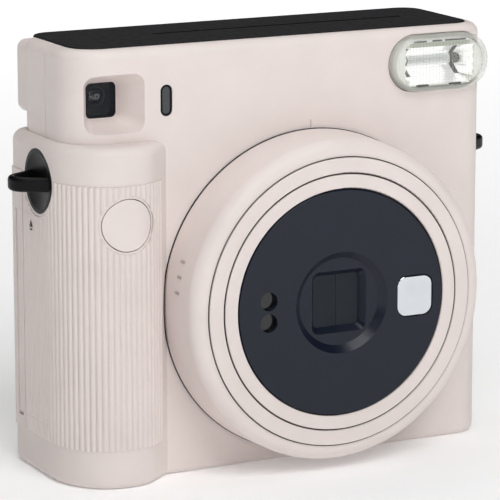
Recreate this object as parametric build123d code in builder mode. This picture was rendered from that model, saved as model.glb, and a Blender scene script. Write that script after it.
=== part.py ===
"""Instant camera for square film, as separate pieces. Millimetres, +Z up, front towards -Y.

The origin is the middle of the base. The lens barrel is retracted and its covers are shut.
"""

import os
from math import atan2, cos, pi, radians, sin, sqrt, tan

from build123d import *

os.makedirs("parts", exist_ok=True)

# Case: the upper body's box, and the wider hand grip on its left side.
LEFT = -62.0
RIGHT = 65.35
FRONT = -10.2
REAR = 27.8
TOP = 118.3
SPLIT_Y = 7.0
WALL = 2.0
SEAM = 0.05
SHADOW_LINE = 0.3
CORNER_RADII = (11.0, 8.0, 8.0, 10.0)
TOP_EDGE = 3.0
BOTTOM_EDGE = 2.2

GRIP_SIDE = -64.95
GRIP_TOP = 93.3
GRIP_CREST = -17.3
GRIP_CORNER = (-49.85, 1.3)
GRIP_FLAT_END = -47.0
GRIP_FLANK_RADIUS = 10.6
GRIP_FLANK_ANGLE = 40.0
GRIP_REAR_RADIUS = 6.0
GRIP_INNER_X = -50.0
GRIP_REAR_Y = 22.0
RIB_RADIUS = 0.85
RIB_INSET = 0.45
RIB_PITCH = 1.62
RIB_LOW = 10.8
RIB_HIGH = 83.0
RIB_REAR_Y = 16.3
BAND_REAR_Y = 25.0
BAND_PROUD = RIB_RADIUS - RIB_INSET

# Top plate and picture slot.
PLATE_LOW = 116.9
PLATE_TOP = 118.6
PLATE_X = (-58.6, 62.0)
PLATE_Y = (-6.9, 27.5)
SLOT_X = (-28.6, 49.1)
SLOT_Y = (9.9, 11.7)

# Lens dial and barrel, about an axis along Y.
LENS_X = 9.2
LENS_Z = 47.75
RING_FRONT = -28.0
DIAL_BACK = FRONT - 0.55
FACE_FRONT = -28.75
DIAL_RADIUS = 45.0
SEAT_RADIUS = 40.05
OUTER_BARREL_RADIUS = 39.85
INNER_BARREL_RADIUS = 35.35
FACE_RADIUS = 31.2
BARREL_GAP = 0.3
CONE_RADII = (14.1, 12.1)
CONE_DEPTH = 1.8
HATCH_OUTER = (16.7, 17.3)
HATCH_INNER = (13.9, 14.3)

# Shutter button in the grip.
BUTTON_X = -49.0
BUTTON_Z = 72.4
BUTTON_RADIUS = 7.0

# Viewfinder, light meter and flash.
FINDER_X = -49.65
FINDER_Z = 103.7
FINDER_WINDOW_Y = -1.1
EYEPIECE_Z = 104.9
BUMP_Z = 107.25
METER_X = -34.35
METER_Z = 103.8
FLASH_X = 48.8
FLASH_Z = 108.5
FLASH_LENGTH = 30.5
FLASH_HEIGHT = 15.8
FLASH_WALL = 1.35
FLASH_FRONT = -13.2
FLASH_BACK = -5.8

# Film chamber, film pack and rollers.
FILM_Y = 10.6
GATE = 62.0
CHASSIS_HALF = 42.5
CHASSIS_FRONT = 6.2
CHASSIS_REAR = 25.2
CHASSIS_Z = (5.0, 101.3)
PACK_HALF = 39.5
PACK_Y = (8.7, 20.2)
PACK_Z = (7.2, 99.0)
ROLLER_Z = 105.5
ROLLER_RADIUS = 2.5
ROLLER_X = (-29.0, 48.5)

# Back door and its hinge.
DOOR_LEFT = -35.7
DOOR_Z = (5.3, 110.7)
DOOR_THICK = 2.2
DOOR_CORNER = 4.0
HINGE_X = 58.0
HINGE_Y = REAR - DOOR_THICK
EAR_Z = (35.3, 80.7)
COUNTER_X = 36.0
COUNTER_Z = 20.0

# Battery door and batteries.
BATTERY_X = -55.0
BATTERY_Y = 11.2
BATTERY_RADIUS = 7.75
BATTERY_DOOR_Y = (1.6, 20.9)
BATTERY_DOOR_Z = (15.1, 72.0)
BATTERY_DOOR_THICK = 1.8
BATTERY_DOOR_GAP = 0.05
BATTERY_HINGE_X = GRIP_SIDE + BATTERY_DOOR_THICK / 2
BATTERY_KNUCKLE = BATTERY_DOOR_THICK / 2 + BAND_PROUD
BATTERY_HINGE_Y = BATTERY_DOOR_Y[1] - BATTERY_KNUCKLE
BATTERY_PIN_RADIUS = 0.6
BATTERY_PIN_LENGTH = 60.0

# Strap lugs.
LUG_Y = 6.2
LUG_Z = 81.8
LUG_RADIUS = 8.8
LUG_OUT = 73.2

# Gear train beside the film chamber: module, teeth and axes in Y and Z.
MODULE = 0.5
PINION_TEETH = 10
WHEEL_TEETH = 30
SMALL_TEETH = 12
ROLLER_TEETH = 24
PINION_AXIS = (-0.5, 93.0)


def save(piece, name):
    """Label one finished piece and write its STEP file."""
    piece.part.label = name
    export_step(piece.part, f"parts/{name}.step")


def facing_front(y, x=0.0, z=0.0):
    """A plane across the camera at y, seen from the front; extruding goes forward."""
    return Plane(origin=(x, y, z), x_dir=(1, 0, 0), z_dir=(0, -1, 0))


def facing_side(x):
    """A plane along the camera at x, whose sketch coordinates are Y and Z."""
    return Plane(origin=(x, 0, 0), x_dir=(0, 1, 0), z_dir=(1, 0, 0))


def about_lens():
    """The half plane for turned parts: radius from the lens axis, then Y."""
    return Plane(origin=(LENS_X, 0, LENS_Z), x_dir=(1, 0, 0), z_dir=(0, 0, 1))


LENS_AXIS = Axis((LENS_X, 0, LENS_Z), (0, 1, 0))


def turned(points):
    """A part turned about the lens axis from the closed outline of radii and Y."""
    with BuildPart() as piece:
        with BuildSketch(about_lens()):
            with BuildLine():
                Polyline(*points, close=True)
            make_face()
        revolve(axis=LENS_AXIS)
    return piece.part


def block(x, y, z):
    """A plain box between low and high limits along each axis."""
    size = (x[1] - x[0], y[1] - y[0], z[1] - z[0])
    with BuildPart() as piece:
        with Locations(((x[0] + x[1]) / 2, (y[0] + y[1]) / 2, (z[0] + z[1]) / 2)):
            Box(*size)
    return piece.part


# Outlines of the case


def case_plan(inset=0.0):
    """Plan of the upper body, drawn in from its outside by the inset."""
    low_x, high_x = LEFT + inset, RIGHT - inset
    low_y, high_y = FRONT + inset, REAR - inset
    corners = [(low_x, low_y), (high_x, low_y), (high_x, high_y), (low_x, high_y)]
    with BuildSketch() as plan:
        with BuildLine():
            FilletPolyline(*corners, radius=[r - inset for r in CORNER_RADII], close=True)
        make_face()
    return plan.sketch


def grip_curve(inset=0.0):
    """The grip's outside in plan, from the rear of its side to its foot on the front wall."""
    corner_x, corner_y = GRIP_CORNER
    across = corner_x - GRIP_SIDE - inset
    along = corner_y - GRIP_CREST - inset
    bend = GRIP_FLANK_RADIUS - inset
    slope = radians(GRIP_FLANK_ANGLE)
    arc_end_x = GRIP_FLAT_END + bend * sin(slope)
    arc_end_y = GRIP_CREST + GRIP_FLANK_RADIUS - bend * cos(slope)
    drop = FRONT - arc_end_y
    with BuildLine() as curve:
        Line((GRIP_SIDE + inset, REAR - GRIP_REAR_RADIUS), (GRIP_SIDE + inset, corner_y))
        EllipticalCenterArc(GRIP_CORNER, across, along, start_angle=180, arc_size=90)
        Line((corner_x, GRIP_CREST + inset), (GRIP_FLAT_END, GRIP_CREST + inset))
        JernArc((GRIP_FLAT_END, GRIP_CREST + inset), (1, 0), bend, GRIP_FLANK_ANGLE)
        Line((arc_end_x, arc_end_y), (arc_end_x + drop / tan(slope), FRONT))
    return curve.line


def grip_plan(inset=0.0, inner_x=GRIP_INNER_X):
    """The grip's closed plan: its outside, then straight across the inside of the case."""
    side = GRIP_SIDE + inset
    rear = REAR - inset
    bend = GRIP_REAR_RADIUS - inset
    foot = grip_curve(inset) @ 1
    with BuildSketch() as plan:
        with BuildLine():
            add(grip_curve(inset))
            Line(foot, (inner_x, FRONT))
            Line((inner_x, FRONT), (inner_x, rear))
            Line((inner_x, rear), (side + bend, rear))
            JernArc((side + bend, rear), (-1, 0), bend, 90)
        make_face()
    return plan.sketch


def body_block():
    """The whole outside of the case with its softened edges, before it is hollowed."""
    with BuildPart() as case:
        with BuildSketch():
            add(case_plan())
        extrude(amount=TOP)
        fillet(case.faces().sort_by(Axis.Z)[-1].edges(), TOP_EDGE)
        fillet(case.faces().sort_by(Axis.Z)[0].edges(), BOTTOM_EDGE)
    with BuildPart() as grip:
        with BuildSketch():
            add(grip_plan())
        extrude(amount=GRIP_TOP)
        for face, radius in ((grip.faces().sort_by(Axis.Z)[-1], TOP_EDGE),
                             (grip.faces().sort_by(Axis.Z)[0], BOTTOM_EDGE)):
            outside = [e for e in face.edges() if not on_grip_inside(e)]
            fillet(outside, radius)
    return case.part + grip.part


def on_grip_inside(edge):
    """True for the grip's straight edges that lie inside the case."""
    middle = edge @ 0.5
    on_inner = abs(middle.X - GRIP_INNER_X) < 0.01
    on_front = abs(middle.Y - FRONT) < 0.01 and middle.X > GRIP_INNER_X
    return on_inner or on_front


def body_hollow():
    """The space inside the case and the grip."""
    with BuildPart() as hollow:
        with BuildSketch(Plane.XY.offset(WALL)):
            add(case_plan(WALL))
        extrude(amount=PLATE_LOW - 2 * WALL)
        with BuildSketch(Plane.XY.offset(WALL)):
            add(grip_plan(WALL))
        extrude(amount=GRIP_TOP - 2 * WALL)
    return hollow.part


def grip_zone(gap):
    """What belongs to the grip cover, grown by the gap on its hidden sides."""
    ledge = GRIP_TOP - WALL + gap
    with BuildPart() as zone:
        add(block((LEFT - 9, GRIP_INNER_X + gap), (FRONT - 9, GRIP_REAR_Y + gap), (-1, ledge)))
        add(block((GRIP_INNER_X - 1, FRONT + 30), (FRONT - 9, FRONT + gap), (-1, GRIP_TOP + 1)))
        add(block((LEFT - 9, GRIP_INNER_X), (FRONT - 9, GRIP_REAR_Y + gap), (ledge - 1, GRIP_TOP + 1)))
        with BuildSketch(Plane.XY.offset(ledge)):
            add(case_plan(gap))
        extrude(amount=WALL * 3, mode=Mode.SUBTRACT)
    return zone.part


def ribs():
    """Upright half-round ribs round the grip, then a plain band as proud as they are.

    They stay clear of the button and of the strap lug.
    """
    path = Wire(grip_curve(RIB_INSET).edges())
    count = int(path.length / RIB_PITCH)
    spots = [path @ (i * RIB_PITCH / path.length) for i in range(count)]
    spots = [p for p in spots if p.Y < RIB_REAR_Y]
    with BuildPart() as band:
        with BuildSketch(Plane.XY.offset(RIB_LOW)):
            add(grip_plan(-BAND_PROUD))
        extrude(amount=RIB_HIGH - RIB_LOW)
        add(block((-70, -60), (RIB_REAR_Y, BAND_REAR_Y), (0, TOP)), mode=Mode.INTERSECT)
        add(block((GRIP_SIDE + 1.0, -59), (RIB_REAR_Y, GRIP_REAR_Y), (0, TOP)), mode=Mode.SUBTRACT)
    with BuildPart() as fluting:
        add(band.part)
        with BuildSketch(Plane.XY.offset(RIB_LOW)):
            with Locations(*[(p.X, p.Y) for p in spots]):
                Circle(RIB_RADIUS)
        extrude(amount=RIB_HIGH - RIB_LOW)
        with BuildSketch(facing_front(0, BUTTON_X, BUTTON_Z)):
            Circle(BUTTON_RADIUS + 0.95)
        extrude(amount=30, mode=Mode.SUBTRACT)
        with BuildSketch(facing_side(GRIP_SIDE - 3)):
            with Locations((LUG_Y, LUG_Z)):
                Circle(LUG_RADIUS + 0.9)
        extrude(amount=6, mode=Mode.SUBTRACT)
    return fluting.part


BODY = body_block()
HOLLOW = body_hollow()
RIBS = ribs()


def finder_pocket(y, width, height, corner):
    """One section of the viewfinder's funnel."""
    with BuildSketch(facing_front(y, FINDER_X, FINDER_Z)) as section:
        RectangleRounded(width, height, corner)
    return section.sketch


def finder_housing():
    """The block behind the front wall that the viewfinder's funnel is cut into."""
    with BuildPart() as housing:
        with BuildSketch(facing_front(FINDER_WINDOW_Y, FINDER_X, FINDER_Z)):
            Rectangle(19.6, 18.0)
        extrude(amount=8)
        add(BODY, mode=Mode.INTERSECT)
    return housing.part


def plate_plan(grow=0.0):
    """Plan of the top plate, grown for the recess that it sits in."""
    low_x, high_x = PLATE_X[0] - grow, PLATE_X[1] + grow
    low_y, high_y = PLATE_Y[0] - grow, PLATE_Y[1] + grow
    corners = [(low_x, low_y), (high_x, low_y), (high_x, high_y), (low_x, high_y)]
    with BuildSketch() as plan:
        with BuildLine():
            FilletPolyline(*corners, radius=[7.5 + grow, 5.5 + grow, 6 + grow, 6 + grow], close=True)
        make_face()
    return plan.sketch


SCREW_SPOTS_FRONT = [(-25.0, -3.0), (44.0, -3.0)]
SCREW_SPOTS_REAR = [(-42.0, 18.0), (57.0, 18.0)]


# Front cover
with BuildPart() as front_cover:
    add(BODY)
    add(HOLLOW, mode=Mode.SUBTRACT)
    add(block((-90, 90), (SPLIT_Y, 60), (-5, 130)), mode=Mode.SUBTRACT)
    add(grip_zone(SEAM), mode=Mode.SUBTRACT)
    with BuildSketch(facing_front(-7, LENS_X, LENS_Z)):
        Circle(SEAT_RADIUS + 0.25)
    extrude(amount=6, mode=Mode.SUBTRACT)
    # Room behind the shutter button
    add(block((-58, -38.5), (-11, -6.5), (6, 88)), mode=Mode.SUBTRACT)
    # Viewfinder funnel
    add(finder_housing())
    add(finder_pocket(FRONT - 0.4, 18.3, 16.2, 3.2))
    add(finder_pocket(FINDER_WINDOW_Y - 0.5, 9.1, 9.8, 1.6))
    loft(mode=Mode.SUBTRACT)
    with BuildSketch(facing_front(FINDER_WINDOW_Y + 1.0, FINDER_X, FINDER_Z)):
        RectangleRounded(9.1, 9.8, 1.6)
    extrude(amount=2, mode=Mode.SUBTRACT)
    # Light-meter window
    with BuildSketch(facing_front(-7, METER_X, METER_Z)):
        SlotOverall(8.6, 3.5, rotation=90)
    extrude(amount=6, mode=Mode.SUBTRACT)
    # Flash pocket
    with BuildSketch(facing_front(FLASH_BACK + 0.2, FLASH_X, FLASH_Z)):
        SlotOverall(FLASH_LENGTH + 0.4, FLASH_HEIGHT + 0.4)
    extrude(amount=20, mode=Mode.SUBTRACT)
    # Seat for the top plate, and room for the light flap under the slot
    with BuildSketch(Plane.XY.offset(PLATE_LOW)):
        add(plate_plan(0.12))
    extrude(amount=5, mode=Mode.SUBTRACT)
    # Right strap lug
    with BuildSketch(facing_side(RIGHT - 3.2)):
        with Locations((LUG_Y, LUG_Z)):
            Circle(LUG_RADIUS + 0.1)
    extrude(amount=5, mode=Mode.SUBTRACT)
    # Screw holes in the base
    with Locations(*[(x, y, 0) for x, y in SCREW_SPOTS_FRONT]):
        CounterBoreHole(1.05, 2.15, 1.1, 6)
save(front_cover, "front_cover")


# Rear cover
with BuildPart() as rear_cover:
    add(BODY)
    add(RIBS)
    add(HOLLOW, mode=Mode.SUBTRACT)
    add(block((-90, 90), (-60, SPLIT_Y + SEAM), (-5, 130)), mode=Mode.SUBTRACT)
    # Eyepiece bump
    with BuildSketch(facing_front(20, FINDER_X, BUMP_Z)):
        RectangleRounded(23.3, 19.9, 2.6)
    extrude(amount=-8.75)
    fillet(rear_cover.faces().sort_by(Axis.Y)[-1].edges(), 1.4)
    add(HOLLOW, mode=Mode.SUBTRACT)
    add(grip_zone(SEAM), mode=Mode.SUBTRACT)
    add(block((FINDER_X - 6.6, FINDER_X + 6.6), (15, 27), (FINDER_Z - 6.5, FINDER_Z + 6.5)),
        mode=Mode.SUBTRACT)
    with BuildSketch(facing_front(26.0, FINDER_X, EYEPIECE_Z)):
        RectangleRounded(15.2, 12.2, 2.6)
    extrude(amount=-5, mode=Mode.SUBTRACT)
    # Shadow line along the parting with the front cover
    with BuildSketch(facing_front(SPLIT_Y + SHADOW_LINE, (LEFT + RIGHT) / 2, TOP / 2)):
        Rectangle(RIGHT - LEFT + 4, TOP + 4)
        RectangleRounded(RIGHT - LEFT - 2 * SHADOW_LINE, TOP - 2 * SHADOW_LINE, TOP_EDGE, mode=Mode.SUBTRACT)
    extrude(amount=SHADOW_LINE, mode=Mode.SUBTRACT)
    # Door opening
    with BuildSketch(facing_front(22, 12.4, 58.0)) as opening:
        Rectangle(96.8, 106.0)
        fillet(opening.vertices().sort_by(Axis.X)[:2], DOOR_CORNER + 0.3)
    extrude(amount=-10, mode=Mode.SUBTRACT)
    # Hinge ear
    with BuildSketch(Plane.XY.offset(EAR_Z[0])):
        with Locations((HINGE_X, HINGE_Y)):
            Circle(DOOR_THICK)
        with Locations((60.6, 25.7)):
            Rectangle(4.4, 2.0)
    extrude(amount=EAR_Z[1] - EAR_Z[0])
    with Locations((HINGE_X, HINGE_Y, 0)):
        with Locations((0, 0, EAR_Z[0])):
            Cylinder(1.02, EAR_Z[1] - EAR_Z[0], align=(Align.CENTER, Align.CENTER, Align.MIN),
                     mode=Mode.SUBTRACT)
    # Latch recess and its slot
    add(block((-45.6, -38.0), (26.6, 30), (49.0, 70.0)), mode=Mode.SUBTRACT)
    add(block((-43.2, -40.4), (24, 28), (53.4, 66.0)), mode=Mode.SUBTRACT)
    # Seat for the top plate, and room for the light flap under the slot
    with BuildSketch(Plane.XY.offset(PLATE_LOW)):
        add(plate_plan(0.12))
    extrude(amount=5, mode=Mode.SUBTRACT)
    add(block((SLOT_X[0] - 1.4, SLOT_X[1] + 1.4), (8.0, 13.5), (113, 118)), mode=Mode.SUBTRACT)
    # Right strap lug
    with BuildSketch(facing_side(RIGHT - 3.2)):
        with Locations((LUG_Y, LUG_Z)):
            Circle(LUG_RADIUS + 0.1)
    extrude(amount=5, mode=Mode.SUBTRACT)
    # Screw holes in the base
    with Locations(*[(x, y, 0) for x, y in SCREW_SPOTS_REAR]):
        CounterBoreHole(1.05, 2.15, 1.1, 6)
save(rear_cover, "rear_cover")


# Ribbed grip cover
with BuildPart() as grip_cover:
    add(BODY)
    add(RIBS)
    add(HOLLOW, mode=Mode.SUBTRACT)
    add(grip_zone(0.0), mode=Mode.INTERSECT)
    # Shutter button hole
    with BuildSketch(facing_front(-9, BUTTON_X, BUTTON_Z)):
        Circle(BUTTON_RADIUS + 0.25)
    extrude(amount=12, mode=Mode.SUBTRACT)
    # Battery door opening, with a relief under the door's knuckle, and the hinge pin's holes
    add(block((-70, -60), (BATTERY_DOOR_Y[0] - BATTERY_DOOR_GAP, BATTERY_DOOR_Y[1] + BATTERY_DOOR_GAP),
              (BATTERY_DOOR_Z[0] - BATTERY_DOOR_GAP, BATTERY_DOOR_Z[1] + BATTERY_DOOR_GAP)),
        mode=Mode.SUBTRACT)
    add(block((-70, GRIP_SIDE + 0.3), (BATTERY_DOOR_Y[1] - 3.4, BATTERY_DOOR_Y[1] + BATTERY_DOOR_GAP),
              (BATTERY_DOOR_Z[0] - 1.0, BATTERY_DOOR_Z[0])), mode=Mode.SUBTRACT)
    with Locations((BATTERY_HINGE_X, BATTERY_HINGE_Y, sum(BATTERY_DOOR_Z) / 2)):
        Cylinder(BATTERY_PIN_RADIUS + 0.02, BATTERY_PIN_LENGTH + 0.2, mode=Mode.SUBTRACT)
    # Clearance round the lens dial
    with BuildSketch(facing_front(FRONT, LENS_X, LENS_Z)):
        Circle(DIAL_RADIUS + 0.4)
    extrude(amount=10, mode=Mode.SUBTRACT)
    # Left strap lug
    with BuildSketch(facing_side(GRIP_SIDE - 2)):
        with Locations((LUG_Y, LUG_Z)):
            Circle(LUG_RADIUS + 0.1)
    extrude(amount=5.2, mode=Mode.SUBTRACT)
save(grip_cover, "grip_cover")


# Top plate with the picture slot
with BuildPart() as top_plate:
    with BuildSketch(Plane.XY.offset(PLATE_LOW)):
        add(plate_plan())
    extrude(amount=PLATE_TOP - PLATE_LOW)
    fillet(top_plate.faces().sort_by(Axis.Z)[-1].edges(), 0.5)
    slot_middle = ((SLOT_X[0] + SLOT_X[1]) / 2, (SLOT_Y[0] + SLOT_Y[1]) / 2)
    with BuildSketch(Plane.XY.offset(PLATE_LOW)):
        with Locations(slot_middle):
            SlotOverall(SLOT_X[1] - SLOT_X[0], SLOT_Y[1] - SLOT_Y[0])
    extrude(amount=3, mode=Mode.SUBTRACT)
save(top_plate, "top_plate")


# Light flap under the picture slot, hung on a rod along its front edge
FLAP_Y = 8.9
FLAP_Z = 113.6
FLAP_LENGTH = 2.8
with BuildPart() as exit_flap:
    with BuildSketch(facing_side(SLOT_X[0] + 0.4)):
        with Locations((FLAP_Y + FLAP_LENGTH / 2, FLAP_Z)):
            Rectangle(FLAP_LENGTH, 0.5)
    extrude(amount=SLOT_X[1] - SLOT_X[0] - 0.8)
    with BuildSketch(facing_side(-32.0)):
        with Locations((FLAP_Y, FLAP_Z)):
            Circle(0.55)
    extrude(amount=83.0)
save(exit_flap, "exit_flap")


# Lens seat: the fixed tube that the dial turns on
lens_seat_outline = [
    (38.2, -25.0), (41.2, -25.0), (41.2, -23.6), (SEAT_RADIUS, -23.6), (SEAT_RADIUS, -8.1),
    (46.0, -8.1), (46.0, -6.3), (38.2, -6.3),
]
with BuildPart() as lens_seat:
    add(turned(lens_seat_outline))
    add(block((GRIP_INNER_X, 60), (-9, 0), (-5, 3.2)), mode=Mode.SUBTRACT)
save(lens_seat, "lens_seat")


# Lens dial
with BuildPart() as lens_dial:
    with BuildSketch(about_lens()):
        with BuildLine():
            Polyline((DIAL_RADIUS, DIAL_BACK), (44.5, -24.5))
            TangentArc((44.5, -24.5), (41.2, RING_FRONT), tangent=(-0.05, -1))
            Polyline((41.2, RING_FRONT), (40.15, RING_FRONT), (40.15, -25.15), (41.5, -25.15),
                     (41.5, -23.45), (40.15, -23.45), (40.15, -20.0), (42.6, -18.5),
                     (42.6, DIAL_BACK), (DIAL_RADIUS, DIAL_BACK))
        make_face()
    revolve(axis=LENS_AXIS)
save(lens_dial, "lens_dial")


# Outer barrel: the first ring inside the dial
outer_bore = INNER_BARREL_RADIUS + BARREL_GAP
with BuildPart() as outer_barrel:
    add(turned([
        (outer_bore, -28.6), (OUTER_BARREL_RADIUS, -28.6), (OUTER_BARREL_RADIUS, -25.3),
        (37.9, -25.3), (37.9, -7.5), (outer_bore, -7.5),
    ]))
    rim = outer_barrel.faces().sort_by(Axis.Y)[0].edges()
    fillet(rim, 0.35)
save(outer_barrel, "outer_barrel")


# Inner barrel: carries the lens face, the covers, the lens and the shutter
with BuildPart() as inner_barrel:
    add(turned([
        (31.5, FACE_FRONT), (INNER_BARREL_RADIUS, FACE_FRONT), (INNER_BARREL_RADIUS, -8.0),
        (33.4, -8.0), (33.4, -24.0), (29.0, -24.0), (29.0, -26.2), (31.5, -26.2),
    ]))
    rim = inner_barrel.faces().sort_by(Axis.Y)[0].edges()
    fillet(rim, 0.35)
save(inner_barrel, "inner_barrel")


# Lens face with its conical recess, hatch frame, mirror seat and sensor holes
MIRROR_X = 31.9
MIRROR_Z = 47.4
MIRROR_SIZE = (10.9, 11.3)
SENSOR_X = -13.05
SENSOR_ZS = (50.3, 44.35)
SENSOR_WINDOW_Y = -26.7
hatch_front = FACE_FRONT + CONE_DEPTH


def hatch_section(y, size, corner):
    """One section of the rounded-square opening in front of the lens covers."""
    with BuildSketch(facing_front(y, LENS_X, LENS_Z)) as section:
        RectangleRounded(size[0], size[1], corner)
    return section.sketch


with BuildPart() as lens_face:
    with BuildSketch(facing_front(-26.25, LENS_X, LENS_Z)):
        Circle(FACE_RADIUS)
    extrude(amount=-26.25 - FACE_FRONT)
    fillet(lens_face.faces().sort_by(Axis.Y)[0].edges(), 0.3)
    with BuildSketch(facing_front(-25.1, LENS_X, LENS_Z)):
        Circle(15.5)
    extrude(amount=1.3)
    add(turned([(0, FACE_FRONT - 0.1), (CONE_RADII[0] + 0.1, FACE_FRONT - 0.1),
                (CONE_RADII[1], hatch_front), (0, hatch_front)]), mode=Mode.SUBTRACT)
    add(hatch_section(hatch_front - 0.01, HATCH_OUTER, 2.2))
    add(hatch_section(-25.0, HATCH_INNER, 1.5))
    loft(mode=Mode.SUBTRACT)
    with BuildSketch(facing_front(-27.75, MIRROR_X, MIRROR_Z)):
        RectangleRounded(MIRROR_SIZE[0] + 0.3, MIRROR_SIZE[1] + 0.3, 3.0)
    extrude(amount=3, mode=Mode.SUBTRACT)
    with BuildSketch(facing_front(SENSOR_WINDOW_Y)):
        with Locations(*[(SENSOR_X, z) for z in SENSOR_ZS]):
            Circle(2.55)
    extrude(amount=3, mode=Mode.SUBTRACT)
    with BuildSketch(facing_front(-25.0)):
        with Locations(*[(SENSOR_X, z) for z in SENSOR_ZS]):
            Circle(1.8)
    extrude(amount=3, mode=Mode.SUBTRACT)
save(lens_face, "lens_face")


# Selfie mirror, slightly crowned by its rounded rim
with BuildPart() as selfie_mirror:
    with BuildSketch(facing_front(-27.75, MIRROR_X, MIRROR_Z)):
        RectangleRounded(*MIRROR_SIZE, 2.85)
    extrude(amount=0.95)
    fillet(selfie_mirror.faces().sort_by(Axis.Y)[0].edges(), 0.4)
save(selfie_mirror, "selfie_mirror")


# The two small windows over the sensors in the lens face
with BuildPart() as sensor_windows:
    with BuildSketch(facing_front(SENSOR_WINDOW_Y)):
        with Locations(*[(SENSOR_X, z) for z in SENSOR_ZS]):
            Circle(2.45)
    extrude(amount=0.4)
save(sensor_windows, "sensor_windows")


# Lens covers: two plates that meet on the centre line behind the hatch
COVER_Y = -24.2


def cover_plate(side):
    """One lens cover, on the left (-1) or right (+1) of the centre line."""
    with BuildPart() as plate:
        with BuildSketch(facing_front(COVER_Y, LENS_X + side * 4.15, LENS_Z)):
            Rectangle(8.2, 17.0)
        extrude(amount=0.7)
    return plate


lens_cover_left = cover_plate(-1)
lens_cover_right = cover_plate(1)
save(lens_cover_left, "lens_cover_left")
save(lens_cover_right, "lens_cover_right")

# Track plate behind the lens covers, with a rail above and below them
with BuildPart() as cover_track:
    with BuildSketch(facing_front(-23.0, LENS_X, LENS_Z)):
        Circle(33.2)
        Circle(9.8, mode=Mode.SUBTRACT)
    extrude(amount=1.0)
    with BuildSketch(facing_front(-24.0, LENS_X, LENS_Z)):
        for side in (-1, 1):
            with Locations((0, side * 9.6)):
                Rectangle(34.0, 1.6)
    extrude(amount=1.05)
save(cover_track, "cover_track")


# Lens glass


def lens_glass(y_front, y_rear, radius, bulge):
    """A biconvex glass element between two Y values at its rim."""
    middle = (y_front + y_rear) / 2
    with BuildPart() as glass:
        with BuildSketch(about_lens()):
            with BuildLine():
                ThreePointArc((0, y_front - bulge), (radius / 2, y_front - bulge * 0.75),
                              (radius, y_front))
                Line((radius, y_front), (radius, y_rear))
                Line((radius, y_rear), (0, y_rear))
                Line((0, y_rear), (0, middle))
                Line((0, middle), (0, y_front - bulge))
            make_face()
        revolve(axis=LENS_AXIS)
    return glass


front_lens = lens_glass(-21.6, -20.0, 7.4, 1.0)
save(front_lens, "front_lens")
rear_lens = lens_glass(-14.4, -12.6, 6.9, 0.5)
save(rear_lens, "rear_lens")


# Shutter plate, its cover and the two blades that swing apart on studs above the lens
BLADE_OFFSET = 2.6
BLADE_PIVOT = 11.5
with BuildPart() as shutter_plate:
    add(turned([(5.0, -17.4), (33.2, -17.4), (33.2, -18.6), (9.5, -18.6), (9.5, -22.8),
                (7.45, -22.8), (7.45, -18.6), (5.0, -18.6)]))
    with BuildSketch(facing_front(-16.1, LENS_X, LENS_Z)):
        for side in (-1, 1):
            with Locations((side * BLADE_OFFSET, BLADE_PIVOT)):
                Circle(0.75)
    extrude(amount=1.4)
save(shutter_plate, "shutter_plate")

with BuildPart() as shutter_cover:
    add(turned([(18.6, -17.4), (20.0, -17.4), (20.0, -15.0), (8.5, -15.0), (8.5, -12.4),
                (6.95, -12.4), (6.95, -16.0), (18.6, -16.0)]))
save(shutter_cover, "shutter_cover")


def shutter_blade(side, y):
    """One shutter blade: a round lobe over half the aperture, hung from its stud."""
    with BuildPart() as blade:
        with BuildSketch(facing_front(y, LENS_X + side * BLADE_OFFSET, LENS_Z)):
            Circle(5.8)
            with Locations((0, BLADE_PIVOT)):
                Circle(1.7)
            with Locations((0, BLADE_PIVOT / 2)):
                Rectangle(2.6, BLADE_PIVOT)
            with Locations((0, BLADE_PIVOT)):
                Circle(0.8, mode=Mode.SUBTRACT)
        extrude(amount=0.3)
    return blade


shutter_blade_left = shutter_blade(-1, -16.9)
save(shutter_blade_left, "shutter_blade_left")
shutter_blade_right = shutter_blade(1, -16.4)
save(shutter_blade_right, "shutter_blade_right")


# Dark chamber between the lens seat and the picture gate
with BuildPart() as dark_chamber:
    add(turned([(38.2, -6.2), (39.8, -6.2), (39.8, CHASSIS_FRONT), (38.2, CHASSIS_FRONT)]))
save(dark_chamber, "dark_chamber")


# Shutter button, flush with the curve of the grip
with BuildPart() as shutter_button:
    with BuildSketch(facing_front(-13.3, BUTTON_X, BUTTON_Z)):
        Circle(BUTTON_RADIUS)
    extrude(amount=8)
    add(BODY, mode=Mode.INTERSECT)
    with BuildSketch(facing_front(-11.6, BUTTON_X, BUTTON_Z)):
        Circle(7.0)
    extrude(amount=1.8)
    with BuildSketch(facing_front(-9.6, BUTTON_X, BUTTON_Z)):
        Circle(2.0)
    extrude(amount=2.4)
save(shutter_button, "shutter_button")

with BuildPart() as button_spring:
    with BuildLine() as coil:
        Helix(pitch=1.75, height=7.0, radius=4.65, center=(BUTTON_X, -4.2, BUTTON_Z),
              direction=(0, -1, 0))
    with BuildSketch(Plane(origin=coil.line @ 0, z_dir=coil.line % 0)):
        Circle(0.25)
    sweep()
save(button_spring, "button_spring")

with BuildPart() as shutter_switch:
    add(block((-57.0, -43.6), (-3.8, -2.6), (64.0, 81.0)))
    add(block((-52.0, -46.0), (-7.0, -3.8), (69.4, 75.4)))
    with BuildSketch(facing_front(-7.0, BUTTON_X, BUTTON_Z)):
        Circle(1.7)
    extrude(amount=1.4)
save(shutter_switch, "shutter_switch")


# Viewfinder
with BuildPart() as finder_window:
    with BuildSketch(facing_front(FINDER_WINDOW_Y + 1.2, FINDER_X, FINDER_Z)):
        RectangleRounded(10.6, 11.2, 1.6)
    extrude(amount=1.2)
save(finder_window, "finder_window")

with BuildPart() as finder_tunnel:
    with BuildSketch(facing_front(25.9, FINDER_X, FINDER_Z)):
        RectangleRounded(12.8, 12.4, 1.6)
        RectangleRounded(10.4, 10.0, 1.0, mode=Mode.SUBTRACT)
    extrude(amount=25.9 - FINDER_WINDOW_Y - 1.3)
save(finder_tunnel, "finder_tunnel")

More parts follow.
